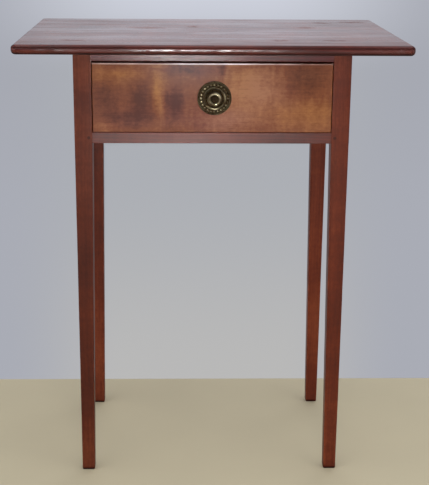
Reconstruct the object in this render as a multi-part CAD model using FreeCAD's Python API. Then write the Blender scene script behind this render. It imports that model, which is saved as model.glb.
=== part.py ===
"""One-drawer stand: a thin overhanging top on four slender tapered legs, with a drawer at the front.

Built as the real stand is: aprons mortised and pegged into the legs, the upper rail dovetailed into the leg
tops, the drawer dovetailed front and back and carried on runners, and a turned brass knob on a stamped
rosette. Units are millimetres. X runs to the right, Y to the back and Z up, with the origin on the floor
under the centre of the top. The drawer opens towards -Y.
"""
import FreeCAD, Part
import math
import os

from FreeCAD import Vector

# Overall sizes
stand_height = 711.0
top_width = 594.0
top_depth = 430.0
top_thickness = 14.5
top_edge_radius = 6.0
top_corner_radius = 9.0
side_overhang = 85.0
front_overhang = 65.0
apron_drop = 142.5

# Legs
leg_top = 27.5
leg_foot = 20.5
leg_arris = 1.0
foot_chamfer = 1.2

# Aprons and rails
apron_thickness = 19.0
upper_rail_height = 16.5
lower_rail_height = 17.0
rail_depth = 30.0
rail_arris = 0.8

# Mortise and tenon joints
tenon_thickness = 7.0
tenon_setback = 6.0
tenon_web = 1.5
tenon_shoulder = 9.0
side_tenon_length = 17.0
rail_tenon_shoulder = 3.0
glue_line = 0.1
peg_diameter = 5.0
peg_inset = 5.5
peg_beyond_tenon = 3.0
peg_proud = 0.3
peg_from_tenon_end = 20.0

# Dovetails that tie the upper rail into the leg tops
rail_tail_length = 14.0
rail_tail_depth = 11.0
rail_tail_neck = 11.0
rail_tail_end = 15.0
haunch_web = 3.0

# Runners, guides, kickers and stops
runner_width = 27.0
runner_height = 15.0
runner_tongue_length = 7.0
runner_tongue_height = 6.0
runner_tongue_inset = 5.0
guide_height = 28.0
kicker_width = 25.0
stop_width = 40.0
stop_height = 26.0
stop_thickness = 8.0
stop_offset = 95.0
stop_rise = 34.0

# Drawer
drawer_side_gap = 0.9
drawer_top_gap = 2.8
drawer_ride = 0.3
drawer_stop_gap = 0.3
drawer_front_thickness = 19.0
drawer_front_arris = 1.2
drawer_side_thickness = 10.0
drawer_side_drop = 1.2
drawer_back_thickness = 10.0
drawer_back_drop = 4.0
front_lap = 6.0
tail_count = 3
tail_slope = 1.0 / 6.0
pin_width = 5.0
groove_rise = 10.0
groove_height = 4.5
groove_depth = 5.0
groove_clearance = 0.2
bottom_thickness = 8.0
bottom_bevel = 20.0

# Brass pull
turning_steps = 4
pull_x = 3.0
rosette_radius = 26.2
rosette_rim_height = 1.7
rosette_rim_width = 3.2
rosette_field_height = 0.9
bead_count = 24
bead_circle_radius = 20.6
bead_radius = 2.0
bead_height = 1.4
ring_circle_radius = 16.2
ring_radius = 1.9
rosette_boss_radius = 7.6
rosette_boss_height = 2.6
knob_foot_radius = 6.6
knob_neck_radius = 4.6
knob_head_radius = 11.6
knob_rim_radius = 8.4
knob_length = 9.5
knob_foot_height = 0.8
knob_neck_height = 1.4
knob_dish_depth = 1.8
stud_radius = 2.4
stud_in_knob = 5.5
stud_past_nut = 2.0
stud_clearance = 0.15
washer_radius = 7.5
washer_thickness = 1.2
nut_width = 11.0
nut_height = 5.0

# Iron fasteners
screw_radius = 2.2
screw_head_radius = 4.0
screw_head_height = 2.4
screw_slot = 0.9
screw_bite = 8.5
rail_screw_offset = 105.0
kicker_screw_offset = 62.0
nail_shank = 2.4
nail_head = 5.0
nail_head_height = 1.2
nail_sink = 0.4
nail_bite = 11.0
nail_offset = 88.0
bottom_nail_offset = 115.0

# Levels and faces that follow from the sizes above
half_width = top_width / 2 - side_overhang
half_depth = top_depth / 2 - front_overhang
seat_z = stand_height - top_thickness
apron_z = seat_z - apron_drop
opening_low_z = apron_z + lower_rail_height
opening_high_z = seat_z - upper_rail_height
leg_in_x = half_width - leg_top
leg_in_y = half_depth - leg_top
apron_in_x = half_width - apron_thickness
apron_in_y = half_depth - apron_thickness
rail_back_y = -half_depth + rail_depth
tenon_low_z = apron_z + tenon_shoulder
tenon_high_z = seat_z - rail_tail_depth - haunch_web
tenon_outer_x = half_width - tenon_setback
tenon_outer_y = half_depth - tenon_setback
cross_tenon_length = leg_top - tenon_setback - tenon_thickness - tenon_web
peg_length = tenon_setback + tenon_thickness + peg_beyond_tenon

drawer_half = leg_in_x - drawer_side_gap
drawer_in_x = drawer_half - drawer_side_thickness
drawer_low_z = opening_low_z + drawer_ride
drawer_front_top_z = opening_high_z - drawer_top_gap
drawer_side_top_z = drawer_front_top_z - drawer_side_drop
drawer_face_y = -half_depth
drawer_shoulder_y = drawer_face_y + drawer_front_thickness
drawer_back_y = apron_in_y - stop_thickness - drawer_stop_gap
drawer_back_in_y = drawer_back_y - drawer_back_thickness
groove_low_z = drawer_low_z + groove_rise
bottom_top_z = groove_low_z + groove_height - groove_clearance
pull_z = (drawer_low_z + drawer_front_top_z) / 2


def box(x0, x1, y0, y1, z0, z1):
    """A block between two corners."""
    return Part.makeBox(x1 - x0, y1 - y0, z1 - z0, Vector(x0, y0, z0))


def prism(points, direction):
    """A flat outline, given by its corners, carried along a direction."""
    face = Part.Face(Part.makePolygon([Vector(*p) for p in points + points[:1]]))
    return face.extrude(Vector(*direction))


def joined(shapes):
    """One solid from pieces of the same board, with the seams between them removed."""
    whole = shapes[0].multiFuse(shapes[1:]) if len(shapes) > 1 else shapes[0]
    return whole.removeSplitter()


def mirrored(shape):
    """The left-hand twin of a right-hand piece."""
    return shape.mirror(Vector(0, 0, 0), Vector(1, 0, 0))


def both_sides(shapes):
    """The right-hand pieces followed by their left-hand twins."""
    return shapes + [mirrored(s) for s in shapes]


def grown(x0, x1, y0, y1, z0, z1, by):
    """A block that is larger than the given one by the same amount on every side."""
    return box(x0 - by, x1 + by, y0 - by, y1 + by, z0 - by, z1 + by)


def eased(shape, radius, wanted):
    """Rounds every edge that the test picks out."""
    return shape.makeFillet(radius, [e for e in shape.Edges if wanted(e)])


def chamfered(shape, size, wanted):
    """Takes the corner off every edge that the test picks out."""
    return shape.makeChamfer(size, [e for e in shape.Edges if wanted(e)])


def runs_along(edge, axis):
    """True where a straight edge follows X, Y or Z (0, 1 or 2)."""
    ends = [v.Point for v in edge.Vertexes]
    if len(ends) != 2:
        return False
    span = ends[1] - ends[0]
    return abs(abs(span[axis]) - span.Length) < 1e-6


def all_at(edge, axis, value):
    """True where both ends of an edge lie at one value of X, Y or Z."""
    return all(abs(v.Point[axis] - value) < 1e-6 for v in edge.Vertexes)


# Joints: each tenon is given once, and the mortise is the same block made larger by the glue line

def side_tenon(end, by=0.0):
    """Tenon of the right apron, in the front leg (end -1) or the back leg (end 1)."""
    ys = sorted([end * leg_in_y, end * (leg_in_y + side_tenon_length)])
    return grown(tenon_outer_x - tenon_thickness, tenon_outer_x, ys[0], ys[1],
                 tenon_low_z, tenon_high_z, by)


def back_tenon(by=0.0):
    """Right-hand tenon of the back apron."""
    return grown(leg_in_x, leg_in_x + cross_tenon_length, tenon_outer_y - tenon_thickness, tenon_outer_y,
                 tenon_low_z, tenon_high_z, by)


def lower_rail_tenon(by=0.0):
    """Right-hand tenon of the rail under the drawer."""
    return grown(leg_in_x, leg_in_x + cross_tenon_length, -tenon_outer_y, -tenon_outer_y + tenon_thickness,
                 apron_z + rail_tenon_shoulder, opening_low_z - rail_tenon_shoulder, by)


def upper_rail_tail(by=0.0):
    """Right-hand dovetail of the rail over the drawer, let into the leg from above."""
    middle = -half_depth + leg_top / 2
    neck = rail_tail_neck / 2 + by
    end = rail_tail_end / 2 + by
    low = seat_z - rail_tail_depth - by
    far = leg_in_x + rail_tail_length + by
    outline = [(leg_in_x, middle - neck, low), (far, middle - end, low),
               (far, middle + end, low), (leg_in_x, middle + neck, low)]
    return prism(outline, (0, 0, rail_tail_depth + by))


def runner_tongue(by=0.0):
    """Stub tenon at the front of the right runner, in the back of the lower rail."""
    middle = opening_low_z - runner_height / 2
    return grown(apron_in_x - runner_width + runner_tongue_inset, leg_in_x - runner_tongue_inset,
                 rail_back_y - runner_tongue_length, rail_back_y,
                 middle - runner_tongue_height / 2, middle + runner_tongue_height / 2, by)


def peg(start, direction, by=0.0):
    """An eight-sided riven peg driven in from the show face, standing a little proud of it."""
    way = Vector(*direction)
    first = Vector(0, 0, 1)
    second = way.cross(first)
    radius = (peg_diameter / 2 + by) / math.cos(math.pi / 8)
    begin = Vector(*start) - way * peg_proud
    corners = []
    for i in range(8):
        angle = math.pi * (2 * i + 1) / 8
        corners.append(begin + first * (radius * math.cos(angle)) + second * (radius * math.sin(angle)))
    return prism(corners, way * (peg_length + peg_proud + by))


def apron_peg_levels():
    """The heights of the two pegs in each apron tenon."""
    return (tenon_low_z + peg_from_tenon_end, tenon_high_z - peg_from_tenon_end)


def front_rail_pegs(by=0.0):
    """Right-hand peg of the lower rail, seen on the front of the leg."""
    return [peg((leg_in_x + peg_inset, -half_depth, (apron_z + opening_low_z) / 2), (0, 1, 0), by)]


def side_apron_pegs(by=0.0):
    """Pegs of the right apron, seen on the outer faces of both legs."""
    return [peg((half_width, end * (leg_in_y + peg_inset), z), (-1, 0, 0), by)
            for end in (-1, 1) for z in apron_peg_levels()]


def back_apron_pegs(by=0.0):
    """Right-hand pegs of the back apron, seen on the back of the leg."""
    return [peg((leg_in_x + peg_inset, half_depth, z), (0, -1, 0), by) for z in apron_peg_levels()]


# Fasteners

def screw(x, y, by=0.0):
    """Countersunk wood screw, driven up through a rail or kicker into the top."""
    r, head, reach = screw_radius + by, screw_head_radius + by, upper_rail_height + screw_bite + by
    half = [(0, 0), (head, 0), (r, screw_head_height), (r, reach), (0, reach)]
    face = Part.Face(Part.makePolygon([Vector(p[0], 0, p[1]) for p in half + half[:1]]))
    body = face.revolve(Vector(0, 0, 0), Vector(0, 0, 1), 360)
    if not by:
        wide = screw_head_radius
        body = body.cut(box(-wide, wide, -screw_slot / 2, screw_slot / 2, 0, screw_slot))
    body.translate(Vector(x, y, opening_high_z))
    return body


def rail_screws(by=0.0):
    """The right-hand screw of the upper rail."""
    return [screw(rail_screw_offset, (-half_depth + rail_back_y) / 2, by)]


def kicker_screws(by=0.0):
    """The screw of the right kicker, towards the back."""
    return [screw(apron_in_x - kicker_width / 2, kicker_screw_offset, by)]


def nail(start, direction, length):
    """Cut nail with a square shank, its head set just under the surface."""
    way = Vector(*direction)
    across = [i for i in range(3) if not direction[i]]
    begin = Vector(*start) + way * nail_sink

    def square(width, near, far):
        low, high = begin + way * near, begin + way * far
        ends = [[min(low[i], high[i]), max(low[i], high[i])] for i in range(3)]
        for i in across:
            ends[i] = [begin[i] - width / 2, begin[i] + width / 2]
        return box(*ends[0], *ends[1], *ends[2])

    return joined([square(nail_head, 0, nail_head_height), square(nail_shank, nail_head_height, length)])


def nail_hole(start, direction):
    """The shallow pocket over a set nail head."""
    way = Vector(*direction)
    across = [i for i in range(3) if not direction[i]]
    ends = [sorted([start[i], start[i] + way[i] * nail_sink]) for i in range(3)]
    for i in across:
        ends[i] = [start[i] - nail_head / 2, start[i] + nail_head / 2]
    return box(*ends[0], *ends[1], *ends[2])


def strip_nails(inner_x, z, offsets):
    """Nails through a strip on the right apron, from its inner face, with their pockets."""
    length = apron_in_x - inner_x + nail_bite
    nails = [nail((inner_x, y, z), (1, 0, 0), length) for y in offsets]
    pockets = [nail_hole((inner_x, y, z), (1, 0, 0)) for y in offsets]
    return nails, pockets


def runner_nails():
    z = opening_low_z - runner_height / 2
    return strip_nails(apron_in_x - runner_width, z, (-nail_offset, 0, nail_offset))


def guide_nails():
    return strip_nails(leg_in_x, opening_low_z + guide_height / 2, (-nail_offset, nail_offset))


def kicker_nails():
    z = (opening_high_z + seat_z) / 2
    return strip_nails(apron_in_x - kicker_width, z, (-nail_offset, nail_offset))


def bottom_nails():
    """Nails up through the drawer bottom into the drawer back, with their pockets."""
    y = (drawer_back_in_y + drawer_back_y) / 2
    low = bottom_top_z - bottom_thickness
    starts = [(x, y, low) for x in (-bottom_nail_offset, 0, bottom_nail_offset)]
    nails = [nail(s, (0, 0, 1), bottom_thickness + nail_bite) for s in starts]
    return nails, [nail_hole(s, (0, 0, 1)) for s in starts]


# Frame

def leg_block(end):
    """The square upper stock of a right leg, at the front (-1) or the back (1)."""
    ys = sorted([end * half_depth, end * leg_in_y])
    return box(leg_in_x, half_width, ys[0], ys[1], 0, seat_z)


def right_leg(end):
    """Leg of the right side: square down to the aprons, then tapered on its two inner faces."""
    taper = leg_top - leg_foot
    inner_y = end * leg_in_y
    ys = sorted([end * half_depth, inner_y])
    upper = box(leg_in_x, half_width, ys[0], ys[1], apron_z, seat_z)
    upper = chamfered(upper, leg_arris, lambda e: runs_along(e, 2) and all_at(e, 0, half_width)
                      and all_at(e, 1, end * half_depth))
    lower = box(leg_in_x, half_width, ys[0], ys[1], 0, apron_z)
    side_wedge = [(leg_in_x, ys[0], apron_z), (leg_in_x, ys[0], 0), (leg_in_x + taper, ys[0], 0)]
    foot_y = inner_y + end * taper
    depth_wedge = [(leg_in_x, inner_y, apron_z), (leg_in_x, inner_y, 0), (leg_in_x, foot_y, 0)]
    lower = lower.cut([prism(side_wedge, (0, leg_top, 0)), prism(depth_wedge, (leg_top, 0, 0))])
    lower = chamfered(lower, leg_arris, lambda e: not all_at(e, 2, 0) and not all_at(e, 2, apron_z))
    lower = chamfered(lower, foot_chamfer, lambda e: all_at(e, 2, 0))
    block = joined([upper, lower])
    cutters = [side_tenon(end, glue_line)] + side_apron_pegs(glue_line)
    if end < 0:
        cutters += [lower_rail_tenon(glue_line), upper_rail_tail(glue_line)] + front_rail_pegs(glue_line)
    else:
        cutters += [back_tenon(glue_line)] + back_apron_pegs(glue_line)
    return block.cut(cutters)


def right_apron():
    """Side apron with a tenon at each end."""
    board = box(apron_in_x, half_width, -leg_in_y, leg_in_y, apron_z, seat_z)
    board = eased(board, rail_arris, lambda e: runs_along(e, 1) and all_at(e, 2, apron_z))
    board = joined([board, side_tenon(-1), side_tenon(1)])
    nails = runner_nails()[0] + guide_nails()[0] + kicker_nails()[0]
    return board.cut(side_apron_pegs(glue_line) + nails)


def back_apron():
    """Back apron with a tenon at each end."""
    board = box(-leg_in_x, leg_in_x, apron_in_y, half_depth, apron_z, seat_z)
    board = eased(board, rail_arris, lambda e: runs_along(e, 0) and all_at(e, 2, apron_z))
    board = joined([board] + both_sides([back_tenon()]))
    return board.cut(both_sides(back_apron_pegs(glue_line)))


def lower_rail():
    """Rail under the drawer, pegged into the front legs and grooved for the runners."""
    board = box(-leg_in_x, leg_in_x, -half_depth, rail_back_y, apron_z, opening_low_z)
    board = eased(board, rail_arris, lambda e: runs_along(e, 0) and all_at(e, 1, -half_depth))
    board = joined([board] + both_sides([lower_rail_tenon()]))
    return board.cut(both_sides(front_rail_pegs(glue_line) + [runner_tongue(glue_line)]))


def upper_rail():
    """Rail over the drawer, with a dovetail at each end."""
    board = box(-leg_in_x, leg_in_x, -half_depth, rail_back_y, opening_high_z, seat_z)
    board = eased(board, rail_arris, lambda e: runs_along(e, 0) and all_at(e, 1, -half_depth)
                  and all_at(e, 2, opening_high_z))
    board = joined([board] + both_sides([upper_rail_tail()]))
    return board.cut(both_sides(rail_screws(glue_line)))


def clear_of_legs(strip):
    """A strip notched round the right-hand legs."""
    return strip.cut([leg_block(-1), leg_block(1)])


def right_runner():
    """Strip that carries the right side of the drawer, tongued into the lower rail."""
    strip = box(apron_in_x - runner_width, apron_in_x, rail_back_y, apron_in_y,
                opening_low_z - runner_height, opening_low_z)
    nails, pockets = runner_nails()
    return joined([clear_of_legs(strip), runner_tongue()]).cut(nails + pockets)


def right_guide():
    """Strip that fills the apron out to the leg, so that the drawer runs straight."""
    strip = box(leg_in_x, apron_in_x, -leg_in_y, leg_in_y, opening_low_z, opening_low_z + guide_height)
    nails, pockets = guide_nails()
    return strip.cut(nails + pockets)


def right_kicker():
    """Strip over the drawer side that keeps the open drawer from tipping and takes screws into the top."""
    strip = box(apron_in_x - kicker_width, apron_in_x, rail_back_y, apron_in_y, opening_high_z, seat_z)
    nails, pockets = kicker_nails()
    return clear_of_legs(strip).cut(nails + pockets + kicker_screws(glue_line))


def drawer_stops():
    """Blocks on the back apron that stop the drawer flush with the legs."""
    low = opening_low_z + stop_rise
    block = box(stop_offset - stop_width / 2, stop_offset + stop_width / 2,
                apron_in_y - stop_thickness, apron_in_y, low, low + stop_height)
    return both_sides([block])


def table_top():
    """Thin board with rounded edges, overhanging the frame on every side."""
    board = box(-top_width / 2, top_width / 2, -top_depth / 2, top_depth / 2, seat_z, stand_height)
    board = eased(board, top_corner_radius, lambda e: runs_along(e, 2))
    board = eased(board, top_edge_radius, lambda e: all_at(e, 2, seat_z) or all_at(e, 2, stand_height))
    return board.cut(both_sides(rail_screws(glue_line) + kicker_screws(glue_line)))


# Drawer

def tails(low_z, high_z, shoulder_y, end_y, by=0.0):
    """Tails of the right drawer side, widening from shoulder to end, with a half pin above and below."""
    pitch = (high_z - low_z) / tail_count
    flare = abs(end_y - shoulder_y) * tail_slope
    beyond = math.copysign(by, end_y - shoulder_y)
    shapes = []
    for i in range(tail_count):
        middle = low_z + pitch * (i + 0.5)
        wide = (pitch - pin_width) / 2 + by
        narrow = wide - flare
        x = drawer_in_x - by
        far = end_y + beyond
        outline = [(x, shoulder_y, middle - narrow), (x, far, middle - wide),
                   (x, far, middle + wide), (x, shoulder_y, middle + narrow)]
        shapes.append(prism(outline, (drawer_side_thickness + 2 * by, 0, 0)))
    return shapes


def front_tails(by=0.0):
    """Half-blind tails, covered by the lap of the drawer front."""
    return tails(drawer_low_z, drawer_side_top_z, drawer_shoulder_y, drawer_face_y + front_lap, by)


def back_tails(by=0.0):
    """Through tails at the back, above the drawer bottom."""
    return tails(bottom_top_z, drawer_side_top_z - drawer_back_drop, drawer_back_in_y, drawer_back_y, by)


def side_groove():
    """Groove in the right drawer side for the drawer bottom, open at the back."""
    return box(drawer_in_x, drawer_in_x + groove_depth, drawer_face_y, drawer_back_y,
               groove_low_z, groove_low_z + groove_height)


def stud_hole(by):
    """Bore for the stud of the pull, through everything that it passes."""
    start = drawer_face_y - rosette_boss_height
    length = rosette_boss_height + drawer_front_thickness + washer_thickness + nut_height
    return Part.makeCylinder(stud_radius + by, length, Vector(pull_x, start, pull_z), Vector(0, 1, 0))


def drawer_front():
    """Drawer front with half-blind sockets at both ends and a groove for the bottom."""
    board = box(-drawer_half, drawer_half, drawer_face_y, drawer_shoulder_y,
                drawer_low_z, drawer_front_top_z)
    board = eased(board, drawer_front_arris, lambda e: all_at(e, 1, drawer_face_y))
    groove = box(-drawer_in_x, drawer_in_x, drawer_shoulder_y - groove_depth, drawer_shoulder_y,
                 groove_low_z, groove_low_z + groove_height)
    return board.cut(both_sides(front_tails(glue_line)) + [groove, stud_hole(stud_clearance)])


def right_drawer_side():
    """Drawer side with tails at both ends and a groove for the bottom."""
    board = box(drawer_in_x, drawer_half, drawer_shoulder_y, drawer_back_in_y,
                drawer_low_z, drawer_side_top_z)
    heel = box(drawer_in_x, drawer_half, drawer_back_in_y, drawer_back_y, drawer_low_z, bottom_top_z)
    return joined([board, heel] + front_tails() + back_tails()).cut(side_groove())


def drawer_back():
    """Drawer back, standing on the bottom, with pins between the tails of the sides."""
    board = box(-drawer_half, drawer_half, drawer_back_in_y, drawer_back_y,
                bottom_top_z, drawer_side_top_z - drawer_back_drop)
    return board.cut(both_sides(back_tails(glue_line)) + bottom_nails()[0])


def drawer_bottom():
    """Panel slid in from the back, thinned underneath along the three edges that lie in grooves."""
    reach = groove_depth - groove_clearance
    half = drawer_in_x + reach
    front = drawer_shoulder_y - reach
    low = bottom_top_z - bottom_thickness
    edge_z = bottom_top_z - groove_height + 2 * groove_clearance
    tongue = groove_depth + 1
    panel = box(-half, half, front, drawer_back_y, low, bottom_top_z)
    side_bevel = [(half, front, low), (half, front, edge_z), (half - tongue, front, edge_z),
                  (half - tongue - bottom_bevel, front, low)]
    front_bevel = [(-half, front, low), (-half, front, edge_z), (-half, front + tongue, edge_z),
                   (-half, front + tongue + bottom_bevel, low)]
    bevels = both_sides([prism(side_bevel, (0, drawer_back_y - front, 0))])
    bevels.append(prism(front_bevel, (2 * half, 0, 0)))
    nails, pockets = bottom_nails()
    return panel.cut(bevels + nails + pockets)


# Brass pull: outlines are given as radius and height above the drawer face

def arc(start, middle, end):
    """Points along the circular arc through three points, a short step apart."""
    curve = Part.Arc(Vector(*start, 0), Vector(*middle, 0), Vector(*end, 0)).toShape()
    return [(p.x, p.y) for p in curve.discretize(turning_steps + 1)]


def turned(outline):
    """A closed half outline turned about the axis of the pull and set on the drawer face."""
    corners = [Vector(r, -h, 0) for r, h in outline]
    face = Part.Face(Part.makePolygon(corners + corners[:1]))
    body = face.revolve(Vector(0, 0, 0), Vector(0, 1, 0), 360)
    body.translate(Vector(pull_x, drawer_face_y, pull_z))
    return body


def bead(centre, turn):
    """One bead of the rosette: a low eight-sided stud, sunk a little into the plate."""
    rings = []
    levels = ((bead_radius, -rosette_field_height / 2), (bead_radius, 0), (bead_radius / 2, bead_height))
    for radius, height in levels:
        angles = [turn + math.pi * (2 * i + 1) / 8 for i in range(8)]
        rings.append([centre + Vector(radius * math.cos(a), -height, radius * math.sin(a)) for a in angles])
    walls = []
    for low, high in zip(rings, rings[1:]):
        for i in range(8):
            j = (i + 1) % 8
            walls.append(Part.Face(Part.makePolygon([low[i], low[j], high[j], high[i], low[i]])))
    ends = [Part.Face(Part.makePolygon(ring + ring[:1])) for ring in (rings[0], rings[-1])]
    return Part.makeSolid(Part.makeShell(walls + ends))


def pull_rosette():
    """Stamped round plate: rolled rim, a circle of beads, a raised ring and a boss under the knob."""
    field = rosette_field_height
    rim_in = rosette_radius - rosette_rim_width
    rim_mid = rosette_radius - rosette_rim_width / 2
    ring_out = ring_circle_radius + ring_radius
    ring_in = ring_circle_radius - ring_radius
    bore = stud_radius + stud_clearance
    boss_foot = rosette_boss_radius + rosette_boss_height - field
    outline = [(bore, 0)]
    outline += arc((rosette_radius, 0), (rim_mid, rosette_rim_height), (rim_in, field))
    outline += arc((ring_out, field), (ring_circle_radius, field + ring_radius), (ring_in, field))
    outline += [(boss_foot, field), (rosette_boss_radius, rosette_boss_height), (bore, rosette_boss_height)]
    beads = []
    for i in range(bead_count):
        angle = 2 * math.pi * i / bead_count
        centre = Vector(pull_x + bead_circle_radius * math.cos(angle), drawer_face_y - field,
                        pull_z + bead_circle_radius * math.sin(angle))
        beads.append(bead(centre, angle))
    return turned(outline).multiFuse(beads)


def pull_knob():
    """Turned knob: a small foot, a slim neck and a rounded head with a shallow dish in its face."""
    base = rosette_boss_height
    foot_top = base + knob_foot_height
    tip = base + knob_length
    round_over = knob_head_radius - knob_rim_radius
    widest = tip - round_over - knob_dish_depth
    neck_top = foot_top + knob_neck_height
    flare = knob_head_radius - knob_neck_radius
    neck_mid = (knob_neck_radius + 0.3 * flare, neck_top + 0.7 * (widest - neck_top))
    head_mid = (knob_head_radius - 0.3 * round_over, widest + 0.7 * (tip - widest))
    dish_radius = (knob_rim_radius ** 2 + knob_dish_depth ** 2) / (2 * knob_dish_depth)
    dish_centre = tip - knob_dish_depth + dish_radius
    dish_mid = (knob_rim_radius / 2, dish_centre - math.sqrt(dish_radius ** 2 - knob_rim_radius ** 2 / 4))
    outline = [(0, base), (knob_foot_radius, base)]
    outline += [(knob_foot_radius, foot_top), (knob_neck_radius, foot_top + knob_neck_height / 2)]
    outline += arc((knob_neck_radius, neck_top), neck_mid, (knob_head_radius, widest))
    outline += arc((knob_head_radius, widest), head_mid, (knob_rim_radius, tip))[1:]
    outline += arc((knob_rim_radius, tip), dish_mid, (0, tip - knob_dish_depth))[1:]
    bore = Part.makeCylinder(stud_radius + glue_line, stud_in_knob + glue_line,
                             Vector(pull_x, drawer_face_y - base, pull_z), Vector(0, -1, 0))
    return turned(outline).cut(bore)


def nut_face_y():
    """Where the nut bears on the washer, inside the drawer."""
    return drawer_shoulder_y + washer_thickness


def pull_stud():
    """Threaded stud of the knob, here plain, through the drawer front to the nut."""
    start = drawer_face_y - rosette_boss_height - stud_in_knob
    end = nut_face_y() + nut_height + stud_past_nut
    return Part.makeCylinder(stud_radius, end - start, Vector(pull_x, start, pull_z), Vector(0, 1, 0))


def pull_washer():
    centre = Vector(pull_x, drawer_shoulder_y, pull_z)
    disc = Part.makeCylinder(washer_radius, washer_thickness, centre, Vector(0, 1, 0))
    return disc.cut(stud_hole(stud_clearance))


def pull_nut():
    """Square nut that draws the knob tight."""
    half = nut_width / 2
    block = box(pull_x - half, pull_x + half, nut_face_y(), nut_face_y() + nut_height,
                pull_z - half, pull_z + half)
    return block.cut(stud_hole(glue_line))


def save(name, shapes):
    """Writes one named piece, or a group of like pieces, to its own file."""
    solids = [s for shape in shapes for s in shape.Solids]
    whole = solids[0] if len(solids) == 1 else Part.makeCompound(solids)
    whole.exportStep(os.path.join("parts", name + ".step"))


def main():
    os.makedirs("parts", exist_ok=True)
    pairs = {"front_leg": right_leg(-1), "back_leg": right_leg(1), "apron": right_apron(),
             "runner": right_runner(), "guide": right_guide(), "kicker": right_kicker(),
             "drawer_side": right_drawer_side()}
    for name, shape in pairs.items():
        save("right_" + name, [shape])
        save("left_" + name, [mirrored(shape)])
    singles = {"table_top": table_top(), "back_apron": back_apron(), "upper_drawer_rail": upper_rail(),
               "lower_drawer_rail": lower_rail(), "drawer_front": drawer_front(),
               "drawer_back": drawer_back(), "drawer_bottom": drawer_bottom(),
               "pull_rosette": pull_rosette(), "pull_knob": pull_knob(), "pull_stud": pull_stud(),
               "pull_washer": pull_washer(), "pull_nut": pull_nut()}
    for name, shape in singles.items():
        save(name, [shape])
    groups = {"drawer_stops": drawer_stops(),
              "front_rail_pegs": both_sides(front_rail_pegs()),
              "side_apron_pegs": both_sides(side_apron_pegs()),
              "back_apron_pegs": both_sides(back_apron_pegs()),
              "top_screws": both_sides(rail_screws() + kicker_screws()),
              "runner_nails": both_sides(runner_nails()[0]),
              "guide_nails": both_sides(guide_nails()[0]),
              "kicker_nails": both_sides(kicker_nails()[0]),
              "drawer_bottom_nails": bottom_nails()[0]}
    for name, shapes in groups.items():
        save(name, shapes)


main()
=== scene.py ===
"""Dresses the one-drawer stand: worn cherry boards, pale inner wood, aged brass and a plain stage."""
import math

import bpy
import numpy as np
from bpy.props import FloatProperty, FloatVectorProperty, IntProperty, PointerProperty
from mathutils import Matrix, Vector


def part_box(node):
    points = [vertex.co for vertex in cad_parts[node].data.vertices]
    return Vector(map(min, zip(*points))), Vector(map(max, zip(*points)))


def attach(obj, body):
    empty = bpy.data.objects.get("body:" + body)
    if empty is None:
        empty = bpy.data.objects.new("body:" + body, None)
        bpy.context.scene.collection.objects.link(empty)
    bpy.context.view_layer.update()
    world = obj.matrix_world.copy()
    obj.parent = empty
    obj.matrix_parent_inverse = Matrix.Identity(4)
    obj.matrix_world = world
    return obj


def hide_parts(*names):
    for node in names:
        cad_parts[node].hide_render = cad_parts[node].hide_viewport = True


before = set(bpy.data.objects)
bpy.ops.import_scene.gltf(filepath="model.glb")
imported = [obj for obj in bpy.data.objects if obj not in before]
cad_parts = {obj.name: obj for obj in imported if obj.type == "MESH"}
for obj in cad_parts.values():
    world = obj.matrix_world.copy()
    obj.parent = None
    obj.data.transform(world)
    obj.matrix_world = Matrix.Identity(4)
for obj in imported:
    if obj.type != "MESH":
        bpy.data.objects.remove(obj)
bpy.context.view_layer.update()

bl_info = {
    "name": "One-drawer stand",
    "version": (1, 0, 0),
    "blender": (4, 5, 0),
    "location": "3D View > Sidebar > Stand",
    "description": "Builds the visible pieces and finishes of a small cherry stand with one drawer",
    "category": "Object",
}

# Faces and levels of the frame, in metres
TOP_LOW, TOP_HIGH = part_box("table_top")
APRON_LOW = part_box("right_apron")[0]
LEG_LOW, LEG_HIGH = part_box("right_back_leg")
FRONT_LOW, FRONT_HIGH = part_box("drawer_front")
ROSETTE_LOW, ROSETTE_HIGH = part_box("pull_rosette")
KNOB_LOW, KNOB_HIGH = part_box("pull_knob")
PULL_X = (ROSETTE_LOW.x + ROSETTE_HIGH.x) / 2
PULL_Z = (ROSETTE_LOW.z + ROSETTE_HIGH.z) / 2
FACE_Y = FRONT_LOW.y

# Edges of a new mesh that turn by more than this are shaded sharp
SHARP_ANGLE = math.radians(38)


def length(name, description, default):
    """A size in metres that a user may change."""
    return FloatProperty(name=name, description=description, default=default, unit="LENGTH", precision=5)


def tint(name, description, default):
    """A colour, as it looks on a screen, that a user may change."""
    return FloatVectorProperty(name=name, description=description, default=default, subtype="COLOR_GAMMA",
                               min=0, max=1)


class StandSizes(bpy.types.PropertyGroup):
    """Sizes of the worn shapes."""

    top_edge: length("Top edge", "Radius of the rounded edge of the top", 0.0062)
    top_corner: length("Top corner", "Radius of the corners of the top, seen from above", 0.009)
    top_wear: length("Top wear", "How far rubbing has worn the edge of the top", 0.0008)
    foot_width: length("Foot", "Width of each leg at the floor", 0.0205)
    leg_arris: length("Leg arris", "Rounding of the long edges of the legs", 0.0012)
    leg_wear: length("Leg wear", "How far the legs depart from dead straight planing", 0.0002)
    beads: IntProperty(name="Beads", description="Beads round the rosette", default=24, min=8, max=60)
    bead_circle: length("Bead circle", "Radius of the circle of beads", 0.0206)
    bead_radius: length("Bead radius", "Radius of one bead", 0.0020)
    ring_circle: length("Ring circle", "Radius of the raised ring of the rosette", 0.0162)
    ring_radius: length("Ring section", "Radius of the raised ring's own section", 0.0019)


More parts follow.
